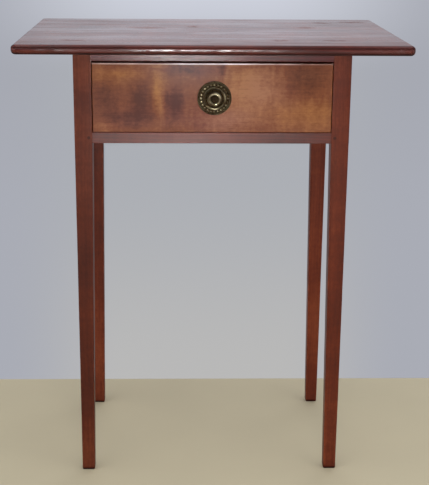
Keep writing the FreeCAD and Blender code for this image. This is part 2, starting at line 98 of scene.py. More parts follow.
class StandColours(bpy.types.PropertyGroup):
    """Colours of the finishes."""

    cherry_dark: tint("Cherry, dark", "Late wood and old finish", (0.235, 0.088, 0.058))
    cherry_mid: tint("Cherry, middle", "Body of the legs, rails and top", (0.350, 0.140, 0.074))
    cherry_light: tint("Cherry, light", "Early wood and rubbed places", (0.47, 0.225, 0.130))
    front_dark: tint("Drawer front, dark", "Clouded places of the drawer front", (0.325, 0.165, 0.125))
    front_mid: tint("Drawer front, middle", "Body of the drawer front", (0.475, 0.270, 0.180))
    front_light: tint("Drawer front, light", "Bright figure of the drawer front", (0.625, 0.425, 0.285))
    inner_dark: tint("Inner wood, dark", "Late wood of the inner boards", (0.52, 0.36, 0.215))
    inner_light: tint("Inner wood, light", "Early wood of the inner boards", (0.72, 0.565, 0.375))
    brass_bright: tint("Brass, rubbed", "High places of the pull", (0.86, 0.80, 0.66))
    brass_dark: tint("Brass, tarnished", "Hollows of the pull", (0.254, 0.195, 0.125))
    iron: tint("Iron", "Nails and screws", (0.24, 0.22, 0.20))
    floor: tint("Floor", "Pale floor of the stage", (0.728, 0.686, 0.572))
    wall: tint("Backdrop", "Pale backdrop of the stage", (0.635, 0.645, 0.68))


def linear(colour):
    """A screen colour as the linear RGBA that shaders take."""
    values = [c / 12.92 if c <= 0.04045 else ((c + 0.055) / 1.055) ** 2.4 for c in colour]
    return (*values, 1.0)


def deepened(colour):
    """A screen colour at half its brightness, as linear RGBA."""
    return (*[0.5 * c for c in linear(colour)[:3]], 1.0)


def shaded(tones, paleness):
    """The same colours, all made lighter or darker, alike or by a share for each of red, green and blue."""
    return np.clip(np.array(tones) * paleness, 0, 1).tolist()


def linked(name, data):
    """A new object with the given data, in the scene."""
    made = bpy.data.objects.new(name, data)
    bpy.context.scene.collection.objects.link(made)
    return made


# Surfaces

def rounded_outline(low_x, high_x, low_y, high_y, radius, per_corner, per_side):
    """Outlines of rectangles with quarter-circle corners, one for each entry of the arrays, anticlockwise.

    Each corner is its centre plus the radius times (cosine, sine) of an angle that sweeps a quarter turn.
    Each side is filled between the ends of its corners by points that follow a half cosine wave, closest
    together at the ends, so that its flat face stays flat in the shading. Gives the points, the outward
    normals, and how much each point belongs to a corner, from 0 on a side to 1 at the middle of a corner.
    """
    given = np.atleast_1d(low_x, high_x, low_y, high_y, radius)
    low_x, high_x, low_y, high_y, radius = np.broadcast_arrays(*given)
    right, left = high_x - radius, low_x + radius
    back, front = high_y - radius, low_y + radius
    centres = np.stack([np.stack([right, back], -1), np.stack([left, back], -1),
                        np.stack([left, front], -1), np.stack([right, front], -1)], 1)
    sweep = np.linspace(0, np.pi / 2, per_corner)
    turn = np.arange(4)[:, None] * np.pi / 2 + sweep
    normals = np.stack([np.cos(turn), np.sin(turn)], -1)
    corners = centres[:, :, None] + radius[:, None, None, None] * normals
    wave = 0.5 - 0.5 * np.cos(np.pi * np.arange(1, per_side + 1) / (per_side + 1))
    start, end = corners[:, :, -1:], np.roll(corners, -1, 1)[:, :, :1]
    points = np.concatenate([corners, start + (end - start) * wave[:, None]], 2)
    side_normals = np.repeat(normals[:, -1:], per_side, 1)
    all_normals = np.concatenate([normals, side_normals], 1)
    cornered = np.concatenate([np.sin(2 * sweep), np.zeros(per_side)])
    return points.reshape(len(radius), -1, 2), all_normals.reshape(-1, 2), np.tile(cornered, 4)


def ripple(values, waves):
    """A smooth uneven line: the sum of sines, each with its amount, its waves per metre and its phase."""
    return sum(amount * np.sin(2 * np.pi * rate * values + phase) for amount, rate, phase in waves)


def slope(values, start, end):
    """A straight slope from 0 at the start to 1 at the end, which may be the lower of the two."""
    return np.clip((values - start) / (end - start), 0, 1)


def skin(name, rings, worn):
    """Closed mesh from rings of points, shaped (rings, points, 3), with a fan over the first and last ring.

    Quads join ring i to ring i+1 and point j to point j+1, with the last point joined to the first. If the
    volume summed over the faces is negative, the faces are turned round. The wear of each point goes with it.
    """
    count, around = rings.shape[:2]
    index = np.arange(count * around).reshape(count, around)
    beside = np.roll(index, -1, 1)
    quads = np.stack([index[:-1], beside[:-1], beside[1:], index[1:]], -1).reshape(-1, 4)
    first, last = count * around, count * around + 1
    low = np.stack([beside[0], index[0], np.full(around, first)], -1)
    high = np.stack([index[-1], beside[-1], np.full(around, last)], -1)
    points = np.concatenate([rings.reshape(-1, 3), rings[:1].mean(1), rings[-1:].mean(1)])
    triangles = np.concatenate([quads[:, :3], quads[:, [0, 2, 3]], low, high])
    corner = points[triangles] - points.mean(0)
    if np.einsum("ij,ij->i", corner[:, 0], np.cross(corner[:, 1], corner[:, 2])).sum() < 0:
        quads, low, high = quads[:, ::-1], low[:, ::-1], high[:, ::-1]
    mesh = bpy.data.meshes.new(name)
    mesh.from_pydata(points.tolist(), [], quads.tolist() + low.tolist() + high.tolist())
    mesh.polygons.foreach_set("use_smooth", np.ones(len(mesh.polygons), bool))
    mesh.set_sharp_from_angle(angle=SHARP_ANGLE)
    worn = np.broadcast_to(worn, (count, around))
    values = np.concatenate([worn.ravel(), worn[:1].mean(1), worn[-1:].mean(1)]).astype(np.float32)
    mesh.attributes.new("worn", "FLOAT", "POINT").data.foreach_set("value", values)
    mesh.update()
    return linked(name, mesh)


def top_rings(sizes):
    """Rings of the top board, from the middle of its face, over the rounded edge, to the middle underneath.

    A ring on a face is the outline drawn in by the edge radius and scaled about the middle. A ring on the
    edge is the outline moved along its normals by the edge radius times (cosine - 1), at a height that
    follows the sine. The edge is then dented by a smooth uneven line, most at the nose, and the upper face
    is a little hollow, by a cosine wave from left to right that fades out towards the edge.
    """
    dents = ((0.30, 3.1, 0.4), (0.25, 7.3, 1.9), (0.25, 14.9, 4.0), (0.30, 27.0, 2.2), (0.25, 43.0, 0.9))
    dent_steepness = 1.6
    hollow_depth, hollow_rate = 0.0003, 4.0
    lower_rub = 0.3
    edge_steps = 10
    shares = np.append(np.linspace(0.02, 0.97, 10), 0.997)[:, None, None]
    radius = sizes.top_edge
    outline, normals, _ = rounded_outline(TOP_LOW.x, TOP_HIGH.x, TOP_LOW.y, TOP_HIGH.y, sizes.top_corner,
                                          per_corner=12, per_side=250)
    outline = outline[0]
    step = np.linalg.norm(np.roll(outline, -1, 0) - outline, axis=1)
    along = np.concatenate([[0], np.cumsum(step)[:-1]])
    rubbed = 0.5 + 0.5 * np.tanh(dent_steepness * ripple(along, dents))
    down = np.linspace(np.pi / 2, 0, edge_steps)
    back = down[::-1]
    upper = np.stack([radius * (np.cos(down) - 1), TOP_HIGH.z - radius + radius * np.sin(down)], -1)
    lower = np.stack([radius * (np.cos(back) - 1), TOP_LOW.z + radius - radius * np.sin(back)], -1)
    profile = np.concatenate([upper, lower])
    nose = np.concatenate([np.cos(down), np.cos(back)])[:, None]
    offset = profile[:, :1] - sizes.top_wear * nose * rubbed
    edge = outline + normals * offset[:, :, None]
    edge = np.concatenate([edge, np.broadcast_to(profile[:, 1, None, None], edge.shape[:2] + (1,))], -1)
    face = edge[0] * [1, 1, 0] * shares + [0, 0, TOP_HIGH.z]
    under = edge[-1] * [1, 1, 0] * shares[::-1] + [0, 0, TOP_LOW.z]
    face[..., 2] -= hollow_depth * (1 - shares[..., 0] ** 2) * np.cos(hollow_rate * face[..., 0])
    # The edge is rubbed most where it meets the face, and a little below the nose
    arris = np.concatenate([np.sin(down) ** 6, lower_rub * np.sin(2 * back)])[:, None] * rubbed ** 2
    unworn = np.zeros((len(shares), len(along)))
    return np.concatenate([face, edge, under]), np.concatenate([unworn, arris, unworn])


def leg_rings(sizes, side, end):
    """Rings of one leg from the floor up: a rounded square whose two inner faces draw in towards the foot.

    The inner faces lie at the full width above the aprons' lower edge, and below it fall back in proportion
    to the depth. Each ring is then moved along its normals by a smooth uneven line in height, different on
    each face. The long edges are rounder at the foot, and where a second uneven line is above nothing.
    """
    # Levels of the eased foot over the floor, and how far the leg is drawn in at each
    foot_levels = [0, 0.0004, 0.0012, 0.0022]
    foot_insets = [0.0011, 0.0006, 0.00015, 0]
    foot_reach = 0.09
    upper_arris = 0.0006
    fade_length = 0.03
    bruises = ((0.5, 3.7, side + end), (0.4, 9.1, 2 * side), (0.4, 23.0, end))
    waves = ((0.5, 2.3, side), (0.3, 5.1, end + 0.7), (0.2, 11.7, side * end))
    apron = APRON_LOW.z
    tapered = np.linspace(0.006, apron, 110)
    square = np.linspace(apron + 0.0006, LEG_HIGH.z, 24)
    levels = np.concatenate([foot_levels, tapered, square])
    taper = slope(levels, apron, 0) * (LEG_HIGH.x - LEG_LOW.x - sizes.foot_width)
    inset = np.interp(levels, foot_levels, foot_insets)
    bruised = np.clip(ripple(levels, bruises), 0, 1)
    foot = np.exp(-levels / foot_reach)
    arris = sizes.leg_arris * (1 + 0.7 * foot + 0.5 * bruised)
    arris = np.where(levels < apron + 1e-5, arris, upper_arris)
    points, normals, cornered = rounded_outline(LEG_LOW.x + taper + inset, LEG_HIGH.x - inset,
                                                LEG_LOW.y + taper + inset, LEG_HIGH.y - inset, arris,
                                                per_corner=6, per_side=7)
    height = np.broadcast_to(levels[:, None], points.shape[:2])
    facing = 1 + 0.3 * np.arctan2(normals[:, 1], normals[:, 0])
    fade = slope(height, apron, apron - fade_length)
    uneven = -sizes.leg_wear * fade * np.abs(ripple(height * facing, waves))
    rings = np.concatenate([points + normals * uneven[..., None], height[..., None]], -1)
    worn = cornered * (0.15 + 0.85 * bruised + 0.6 * foot)[:, None] * np.where(height < apron, 1, 0.1)
    return rings * [side, end, 1], np.clip(worn, 0, 1)


def turned_rings(radii, heights, around):
    """Rings about the pull's axis: a radius for each ring, and its heights over the drawer face."""
    angle = np.linspace(0, 2 * np.pi, around, endpoint=False)
    x = PULL_X + radii[:, None] * np.cos(angle)
    z = PULL_Z + radii[:, None] * np.sin(angle)
    return np.stack([x, FACE_Y - np.broadcast_to(heights, x.shape), z], -1)


def bell(angle, middle, half_width):
    """How near an angle is to a middle one, in degrees: a cosine wave from 1 there to 0 at the half width."""
    off = np.abs((np.degrees(angle) - middle + 180) % 360 - 180)
    return 0.5 + 0.5 * np.cos(np.pi * np.clip(off / half_width, 0, 1))


def ridge(radii, middle, half_width):
    """Half-round ridge: the height of a circle's section about a middle radius, and nothing outside it."""
    return np.sqrt(np.clip(half_width ** 2 - (radii - middle) ** 2, 0, None))


def rosette_rings(sizes):
    """Rings of the stamped plate, from its bore over the face to the rim and back underneath.

    The height is a thin field plus a sloping boss, a half-round ring, a circle of domes and a rolled rim. A
    dome's height is a share of a sphere's at the distance from its centre, measured along the radius and
    along the circle.
    """
    bore, outer = 0.0026, ROSETTE_HIGH.x - PULL_X
    field, edge = 0.0009, 0.0001
    hollow_depth, boss_height, dome_share = 0.0004, 0.0016, 0.58
    rim_start, rim_half = 0.0229, 0.0016
    rim_wear, rim_wear_start = 0.06, 0.0235
    # Where the rings lie: from which radius, to which, and how many
    zones = ((bore, 0.0142, 22), (0.0144, 0.0182, 24), (0.0184, 0.0228, 26), (0.0230, outer, 20))
    around = sizes.beads * 24
    angle = np.linspace(0, 2 * np.pi, around, endpoint=False)
    radii = np.concatenate([np.linspace(*zone) for zone in zones])
    hollow = slope(radii, 0.0098, 0.0128) * slope(radii, 0.0146, 0.0126)
    boss = slope(radii, 0.0095, 0.0076)
    height = field - hollow_depth * hollow + boss_height * boss * boss * (3 - 2 * boss)
    ring = ridge(radii, sizes.ring_circle, sizes.ring_radius)
    rim = np.where(radii > rim_start, ridge(radii, outer - rim_half, rim_half) + edge - height, 0)
    rim[-1] = edge - height[-1]
    pitch = 2 * np.pi / sizes.beads
    from_bead = (angle + pitch / 2) % pitch - pitch / 2
    away = (radii[:, None] - sizes.bead_circle) ** 2 + (sizes.bead_circle * from_bead) ** 2
    dome = np.sqrt(np.clip(sizes.bead_radius ** 2 - away, 0, None))
    height = (height + ring + rim)[:, None] + dome_share * dome
    # Beads are rubbed brightest on the left, the ring below and on the right
    bead_wear = 0.28 + 0.72 * bell(angle, 172, 60)
    ring_wear = 0.12 + 0.80 * np.maximum(bell(angle, 262, 46), bell(angle, 8, 34))
    worn = np.maximum((dome / sizes.bead_radius) ** 3 * bead_wear,
                      (ring / sizes.ring_radius)[:, None] ** 3 * ring_wear)
    worn = np.maximum(worn, rim_wear * (radii > rim_wear_start)[:, None])
    under = np.zeros((2, around))
    radii = np.concatenate([radii, [outer - edge, bore]])
    return turned_rings(radii, np.concatenate([height, under]), around), np.concatenate([worn, under])


def knob_rings():
    """Rings of the knob: a foot, a waisted neck, a rounded head, a rolled rim and a dished face.

    The neck's radius is its least radius plus a cosine bell at the foot and a quarter circle that flares to
    the head. The head is a quarter ellipse up to the rim, the rim turns over in a quarter circle, and the
    dish is a bowl.
    """
    rim, waist, foot = 0.0079, 0.0046, 0.0062
    dish_depth, round_over, head_height = 0.0024, 0.0018, 0.0034
    flare_start = 0.35
    crown_depth, flank_depth = 0.0018, 0.0008
    around = 96
    base, tip = FACE_Y - KNOB_HIGH.y, FACE_Y - KNOB_LOW.y
    head = (KNOB_HIGH.x - KNOB_LOW.x) / 2
    widest = tip - head_height
    foot_h = base + np.array([0, 0.0001, 0.0004, 0.0007, 0.0008])
    foot_r = foot + np.array([0.0002, 0.0004, 0.0005, 0.0004, 0])
    share = np.linspace(0, 1, 30)[1:]
    neck_h = foot_h[-1] + share * (widest - foot_h[-1])
    swell = 1 - np.sqrt(1 - slope(share, flare_start, 1) ** 2)
    spread = 0.5 + 0.5 * np.cos(np.pi * slope(share, 0, flare_start))
    neck_r = waist + (foot - waist) * spread + (head - waist) * swell
    sweep = np.linspace(0, np.pi / 2, 18)[1:]
    head_r = rim + (head - rim) * np.cos(sweep)
    head_h = widest + (tip - widest) * np.sin(sweep)
    roll = np.linspace(0, np.pi / 2, 9)[1:]
    roll_r = rim - round_over * np.sin(roll)
    roll_h = tip - round_over * (1 - np.cos(roll))
    inner = np.linspace(roll_r[-1] - 0.0003, 0.0004, 16)
    dish_h = tip - round_over - (dish_depth - round_over) * (1 - (inner / roll_r[-1]) ** 2)
    radii = np.concatenate([foot_r, neck_r, head_r, roll_r, inner])
    heights = np.concatenate([foot_h, neck_h, head_h, roll_h, dish_h])[:, None]
    angle = np.linspace(0, 2 * np.pi, around, endpoint=False)
    # The crown of the rim is rubbed above, and brightest in a short place below; the flank at the lower left
    crown = slope(heights, tip - crown_depth, tip)
    crown[-len(inner) - len(roll):-len(inner)] *= np.cos(roll)[:, None] ** 2
    crown = crown * np.maximum(0.12 + 0.50 * bell(angle, 62, 130), 1.15 * bell(angle, 283, 22))
    flank = 0.25 * bell(angle, 225, 80) * (heights > widest - flank_depth)
    worn = np.maximum(crown, flank)
    # Less than nothing makes the dish darker
    worn[-len(inner):] = -1
    return turned_rings(radii, heights, around), worn


# Materials

def add(tree, kind, inputs=None, **settings):
    """Adds a node, sets its properties, fills its inputs with values or links, and returns its outputs."""
    made = tree.nodes.new(kind)
    for key, value in settings.items():
        setattr(made, key, value)
    for key, value in (inputs or {}).items():
        if isinstance(value, bpy.types.NodeSocket):
            tree.links.new(value, made.inputs[key])
        else:
            made.inputs[key].default_value = value
    return made.outputs


def maths(tree, operation, first, second=0.0):
    """The result of one sum on one or two numbers."""
    return add(tree, "ShaderNodeMath", {0: first, 1: second}, operation=operation)[0]


def times(tree, first, second):
    """The product of two numbers."""
    return maths(tree, "MULTIPLY", first, second)


def about(tree, value, amount):
    """A noise value about nothing: half taken off, then multiplied."""
    return times(tree, maths(tree, "SUBTRACT", value, 0.5), amount)


def total(tree, *values):
    """The sum of several numbers."""
    result = values[0]
    for value in values[1:]:
        result = maths(tree, "ADD", result, value)
    return result


def between(tree, value, low, high, to_low=0.0, to_high=1.0):
    """A number moved smoothly from one range to another."""
    ranges = {"Value": value, "From Min": low, "From Max": high, "To Min": to_low, "To Max": to_high}
    return add(tree, "ShaderNodeMapRange", ranges, interpolation_type="SMOOTHSTEP")[0]


def mixed(tree, share, first, second):
    """Two colours mixed by a share."""
    return add(tree, "ShaderNodeMix", {0: share, 6: first, 7: second}, data_type="RGBA")[2]


def vectors(tree, operation, first, second):
    """The result of one sum on two vectors."""
    return add(tree, "ShaderNodeVectorMath", {0: first, 1: second}, operation=operation)[0]


def distance(tree, vector):
    """The length of a vector."""
    return add(tree, "ShaderNodeVectorMath", {0: vector}, operation="LENGTH")["Value"]


def object_place(tree):
    """Object coordinates."""
    return add(tree, "ShaderNodeTexCoord")["Object"]


def off_centre(tree):
    """How far a place lies to the left or to the right of the middle."""
    return distance(tree, vectors(tree, "MULTIPLY", object_place(tree), (1.0, 0.0, 0.0)))


def worn_share(tree):
    """The wear that a new mesh carries at each of its points."""
    return add(tree, "ShaderNodeAttribute", attribute_name="worn")["Fac"]


def start_material(name):
    """An empty node material with its surface shader."""
    made = bpy.data.materials.new(name)
    made.use_nodes = True
    return made, made.node_tree, made.node_tree.nodes["Principled BSDF"]


def finish_shader(tree, shader, colour, roughness, bump, depth):
    """Links the colour, the roughness and a bump of the given depth to the surface shader."""
    tree.links.new(colour, shader.inputs["Base Color"])
    tree.links.new(roughness, shader.inputs["Roughness"])
    normal = add(tree, "ShaderNodeBump", {"Height": bump, "Strength": 1.0, "Distance": depth})[0]
    tree.links.new(normal, shader.inputs["Normal"])


def grain_place(tree, along, shift):
    """Object coordinates with the grain's direction first, moved so that each board has its own log."""
    split = add(tree, "ShaderNodeSeparateXYZ", {0: object_place(tree)})
    first, second, third = {"x": "XYZ", "y": "YXZ", "z": "ZXY"}[along]
    turned = add(tree, "ShaderNodeCombineXYZ", {"X": split[first], "Y": split[second], "Z": split[third]})[0]
    return vectors(tree, "ADD", turned, shift)


def noise(tree, place, along, across, detail=3.0, rough=0.55, bend=0.0):
    """Noise drawn out along the grain: so many cells per metre along it and across it."""
    scaled = vectors(tree, "MULTIPLY", place, (along, across, across))
    inputs = {"Vector": scaled, "Scale": 1.0, "Detail": detail, "Roughness": rough, "Distortion": bend}
    return add(tree, "ShaderNodeTexNoise", inputs)[0]


def cells(tree, scale, detail=3.0):
    """Even noise in object coordinates."""
    inputs = {"Vector": object_place(tree), "Scale": scale, "Detail": detail}
    return add(tree, "ShaderNodeTexNoise", inputs)[0]


def year_rings(tree, place, pith, spacing, waver):
    """Year rings of a log: the distance from its pith line, wavered by noise, counted in ring widths."""
    sway = about(tree, noise(tree, place, 2.2, 9.0, 2.0), waver)
    flat = vectors(tree, "MULTIPLY", place, (0.035, 1.0, 1.0))
    away = distance(tree, vectors(tree, "SUBTRACT", flat, (0.0, pith[0], pith[1])))
    return maths(tree, "FRACT", maths(tree, "DIVIDE", total(tree, away, sway), spacing))


def soft_patch(tree, drift, centre, size, amount):
    """A cloudy place in the figure: a soft ellipsoid about a point, with a drifting edge."""
    off = vectors(tree, "ADD", vectors(tree, "SUBTRACT", object_place(tree), centre), drift)
    return between(tree, distance(tree, vectors(tree, "DIVIDE", off, size)), 0.0, 1.5, amount, 0.0)


def patch_drift(tree, scale, reach):
    """A wandering offset that makes the edges of cloudy places uneven."""
    inputs = {"Vector": object_place(tree), "Scale": scale, "Detail": 6.0, "Roughness": 0.66}
    wander = add(tree, "ShaderNodeTexNoise", inputs)[1]
    return vectors(tree, "MULTIPLY", vectors(tree, "SUBTRACT", wander, (0.5, 0.5, 0.5)), reach)


def level_patch(height, half, amount, reach=5.0):
    """A cloudy place at a height, with a reach to the sides that is far wider than the piece."""
    return (0, 0, height), (reach, reach, half), amount


def three_tones(tree, value, tones):
    """A colour that runs from the dark tone, by way of the middle one, to the light one."""
    dark, mid, light = tones
    made = tree.nodes.new("ShaderNodeValToRGB")
    stops = made.color_ramp.elements
    stops[0].position = 0.08
    stops[0].color = linear(dark)
    stops[1].position = 0.92
    stops[1].color = linear(light)
    stops.new(0.5).color = linear(mid)
    tree.links.new(value, made.inputs[0])
    return made.outputs[0]


def painted_arris_highlight(tree, place, level):
    """Share and pale colour of a painted highlight on the front's arris at a level, brightest in the middle.
    """
    split = add(tree, "ShaderNodeSeparateXYZ", {0: object_place(tree)})
    edge = times(tree, between(tree, split["Z"], level - 0.0024, level - 0.0012),
                 between(tree, split["Y"], FACE_Y + 0.0010, FACE_Y + 0.0024, 1.0, 0.0))
    aside = off_centre(tree)
    broken = between(tree, noise(tree, place, 12.0, 12.0), 0.30, 0.6, 0.1, 0.85)
    middle = between(tree, aside, 0.02, 0.10, 0.4, 0.0)
    palest, tan = linear((1.0, 0.95, 0.97)), linear((0.84, 0.73, 0.70))
    pale = mixed(tree, between(tree, aside, 0.02, 0.15), palest, tan)
    return times(tree, edge, total(tree, broken, middle)), pale


def cherry(name, along, shift, tones, pith=(0.02, -0.07), clouds=0.4, rings=0.16, curl=0.12, mottle=0.25,
           streaks=0.55, fine=0.4, patches=(), hues=(), stains=(), lines=(), arris=None, dull=(0.40, 0.55),
           shine=0.16, coat=0.05, planing=0.5, edges=0.0):
    """Old cherry under thin shellac: year rings, fine fibre, gum flecks, cloudy figure and a soft gloss.

    Patches are paler or darker places, and hues, which go with patches, are more golden or more mauve ones.
    Stains and lines are dark and spoil the gloss, the stains with ragged outlines. The arris is the level of
    an edge that gets a painted highlight, and edges says how pale the worn places of the mesh are.
    """
    deep = deepened(tones[0])
    made, tree, shader = start_material(name)
    place = grain_place(tree, along, shift)
    late = between(tree, year_rings(tree, place, pith, spacing=0.0052, waver=0.03), 0.2, 0.95)
    fibre = noise(tree, place, 9.0, 560.0, 4.0, 0.62)
    streak = noise(tree, place, 2.6, 62.0, 4.0, 0.6)
    cloud = noise(tree, place, 9.0, 5.5, 3.0, 0.5, 0.5)
    ripples = noise(tree, place, 75.0, 14.0, 2.0, 0.5, 0.8)
    mottled = noise(tree, place, 130.0, 200.0, 4.0, 0.65)
    flecks = between(tree, noise(tree, place, 38.0, 900.0, 2.0, 0.5), 0.66, 0.74)
    gum = between(tree, noise(tree, place, 11.0, 230.0, 2.0, 0.5), 0.72, 0.80)
    tone = total(tree, 0.5, about(tree, cloud, 2.2 * clouds), about(tree, streak, streaks),
                 about(tree, fibre, fine), about(tree, ripples, 2.0 * curl), about(tree, mottled, mottle),
                 times(tree, late, -rings))
    drift = patch_drift(tree, 38.0, (0.022, 0.0, 0.034)) if patches else None
    tone = total(tree, tone, *[soft_patch(tree, drift, *patch) for patch in patches])
    colour = three_tones(tree, tone, tones)
    if hues:
        warmth = total(tree, 0.5, *[soft_patch(tree, drift, *hue) for hue in hues])
        cast = mixed(tree, warmth, (0.96, 0.98, 1.30, 1.0), (1.05, 1.02, 0.62, 1.0))
        colour = add(tree, "ShaderNodeMix", {0: 1.0, 6: colour, 7: cast}, data_type="RGBA",
                     blend_type="MULTIPLY")[2]
    colour = mixed(tree, times(tree, flecks, 0.5), colour, deep)
    colour = mixed(tree, times(tree, gum, 0.45), colour, deep)
    rough = between(tree, noise(tree, place, 7.0, 26.0, 4.0), 0.3, 0.7, *dull)
    rough = total(tree, rough, times(tree, gum, 0.25))
    if stains or lines:
        ragged = patch_drift(tree, 75.0, (0.045, 0.045, 0.0))
        dark_and_dull = total(tree, 0.0, *[soft_patch(tree, ragged, *stain) for stain in stains],
                        *[soft_patch(tree, (0, 0, 0), *line) for line in lines])
        colour = mixed(tree, times(tree, dark_and_dull, 0.38), colour, deep)
        rough = total(tree, rough, times(tree, dark_and_dull, 0.6))
    if edges:
        rubbed = times(tree, worn_share(tree), between(tree, cells(tree, 60.0, 4.0), 0.36, 0.62, 0.0, edges))
        colour = mixed(tree, rubbed, colour, linear(shaded(tones[2], 1.12)))
        rough = total(tree, rough, times(tree, rubbed, 0.12))
    # A painted highlight lies along the arris, pale and brightest in the middle
    if arris:
        highlit, pale = painted_arris_highlight(tree, place, arris)
        colour = mixed(tree, highlit, colour, pale)
    planed = noise(tree, place, 3.0, 26.0, 1.0)
    bump = total(tree, times(tree, fibre, 0.08), times(tree, planed, planing), times(tree, flecks, -0.10))
    finish_shader(tree, shader, colour, rough, bump, depth=0.0005)
    shader.inputs["Specular IOR Level"].default_value = shine
    shader.inputs["Coat Weight"].default_value = coat
    shader.inputs["Coat Roughness"].default_value = 0.14
    return made


def inner_wood(name, along, shift, tones, pith=(0.03, -0.09)):
    """Bare planed inner wood, browned by age: plain year rings, knife-fine fibre and dusty stains."""
    dark, light = tones
    made, tree, shader = start_material(name)
    place = grain_place(tree, along, shift)
    late = maths(tree, "POWER", year_rings(tree, place, pith, spacing=0.0038, waver=0.02), 3.0)
    fibre = noise(tree, place, 14.0, 700.0, 4.0, 0.6)
    stain = noise(tree, place, 5.0, 11.0, 4.0, 0.6, 0.4)
    tone = total(tree, 0.62, about(tree, fibre, 0.5), times(tree, late, -0.45))
    colour = mixed(tree, tone, linear(dark), linear(light))
    colour = mixed(tree, between(tree, stain, 0.5, 0.8, 0.0, 0.45), colour, deepened(dark))
    rough = between(tree, fibre, 0.3, 0.7, 0.62, 0.78)
    bump = total(tree, times(tree, fibre, 0.35), times(tree, late, -0.4))
    finish_shader(tree, shader, colour, rough, bump, depth=0.0004)
    shader.inputs["Specular IOR Level"].default_value = 0.3
    return made


def aged_brass(name, bright, dark, rubbed_by):
    """Old brass: tarnished in its hollows and rubbed on its high places, with a fine mottle."""
    made, tree, shader = start_material(name)
    mottle = cells(tree, 520.0, 5.0)
    cloud = cells(tree, 95.0, 3.0)
    rubbed = times(tree, rubbed_by(tree), between(tree, cloud, 0.36, 0.62, 0.4, 1.0))
    rubbed = times(tree, rubbed, between(tree, mottle, 0.28, 0.58, 0.55, 1.0))
    green = mixed(tree, between(tree, cloud, 0.42, 0.66), linear(dark), linear((0.25, 0.225, 0.15)))
    black = mixed(tree, between(tree, mottle, 0.42, 0.64), green, linear((0.13, 0.095, 0.068)))
    colour = mixed(tree, rubbed, black, linear(bright))
    # Where the wear is less than nothing, as in the knob's dish, the colour is darker
    darkening = between(tree, rubbed, -0.5, 0.0, 0.75, 0.0)
    colour = mixed(tree, darkening, colour, linear((0.10, 0.075, 0.055)))
    rough = between(tree, total(tree, rubbed, about(tree, mottle, 0.3)), 0.0, 1.0, 0.46, 0.15)
    finish_shader(tree, shader, colour, rough, mottle, depth=0.00008)
    shader.inputs["Metallic"].default_value = 1.0
    return made


def dark_iron(name, colour):
    """Hand-worked iron, dark and dull, with brown rust in patches."""
    made, tree, shader = start_material(name)
    grit = cells(tree, 900.0, 4.0)
    rust = between(tree, cells(tree, 260.0), 0.45, 0.65, 0.0, 0.7)
    tinted = mixed(tree, rust, linear(colour), linear((0.34, 0.20, 0.13)))
    finish_shader(tree, shader, tinted, between(tree, grit, 0.3, 0.7, 0.5, 0.75), grit, depth=0.0001)
    shader.inputs["Metallic"].default_value = 0.6
    return made


def seen(tree):
    """One for rays from the eye, also by way of gloss or glass, and nothing for the rays that carry light."""
    ray = add(tree, "ShaderNodeLightPath")
    shown = maths(tree, "MAXIMUM", ray["Is Camera Ray"], ray["Is Glossy Ray"])
    return maths(tree, "MAXIMUM", shown, ray["Is Transmission Ray"])


def show(tree, share, first, second):
    """Gives a material two shaders mixed by a share."""
    shown = add(tree, "ShaderNodeMixShader", {0: share, 1: first, 2: second})[0]
    tree.links.new(shown, tree.nodes["Material Output"].inputs["Surface"])


def pale_floor(name, colour):
    """Plain pale floor with a very faint unevenness, which stays as pale beyond the lamps' reach."""
    made, tree, shader = start_material(name)
    shade = mixed(tree, cells(tree, 5.0, 4.0), linear(colour), linear(shaded(colour, 1.05)))
    tree.links.new(shade, shader.inputs["Base Color"])
    shader.inputs["Roughness"].default_value = 0.8
    far = between(tree, distance(tree, object_place(tree)), 0.9, 3.2, 0.0, 0.9)
    glow = add(tree, "ShaderNodeEmission", {"Color": shade})[0]
    show(tree, times(tree, far, seen(tree)), shader.outputs[0], glow)
    return made


def even_backdrop(name, colour):
    """Plain pale backdrop of soft brightness: warmer towards the floor, and palest in a painted pool of light
    above the top, as if reflected from it.

    It is seen, directly and in gloss, from its front alone, and light passes through it.
    """
    made, tree, _ = start_material(name)
    height = add(tree, "ShaderNodeSeparateXYZ", {0: object_place(tree)})["Z"]
    aside = off_centre(tree)
    lower, middle = shaded(colour, (1.14, 1.12, 1.06)), shaded(colour, (1.06, 1.06, 1.04))
    low_side, high_side = shaded(colour, 1.045), shaded(colour, 1.025)
    shade = mixed(tree, between(tree, height, 0.0, 0.45), linear(lower), linear(middle))
    sides = mixed(tree, between(tree, height, 0.30, 0.65), linear(low_side), linear(high_side))
    shade = mixed(tree, between(tree, aside, 0.15, 0.40), shade, sides)
    # A painted pool of light in the middle above the top, as if reflected from the top
    painted_reflected_light = times(tree, between(tree, height, 0.60, 0.76), between(tree, aside, 0.08, 0.50, 1.0, 0.0))
    shade = mixed(tree, painted_reflected_light, shade, linear(shaded(colour, 1.26)))
    facing = maths(tree, "SUBTRACT", 1.0, add(tree, "ShaderNodeNewGeometry")["Backfacing"])
    glow = add(tree, "ShaderNodeEmission", {"Color": shade})[0]
    show(tree, times(tree, seen(tree), facing), add(tree, "ShaderNodeBsdfTransparent")[0], glow)
    return made


def dress(material, *names):
    """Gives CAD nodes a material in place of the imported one."""
    for name in names:
        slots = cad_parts[name].data.materials
        slots.clear()
        slots.append(material)


def place_piece(piece, body, node, material):
    """Sets a new piece on its body, in place of its CAD node."""
    piece.data.materials.append(material)
    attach(piece, body)
    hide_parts(node)


def mark_edge(board):
    """Gives the second material to the faces of a board that look neither straight up nor straight down."""
    flat = 0.97
    normals = np.empty(3 * len(board.data.polygons), np.float32)
    board.data.polygons.foreach_get("normal", normals)
    rounded = np.abs(normals[2::3]) < flat
    board.data.polygons.foreach_set("material_index", rounded.astype(np.int32))


# Stage

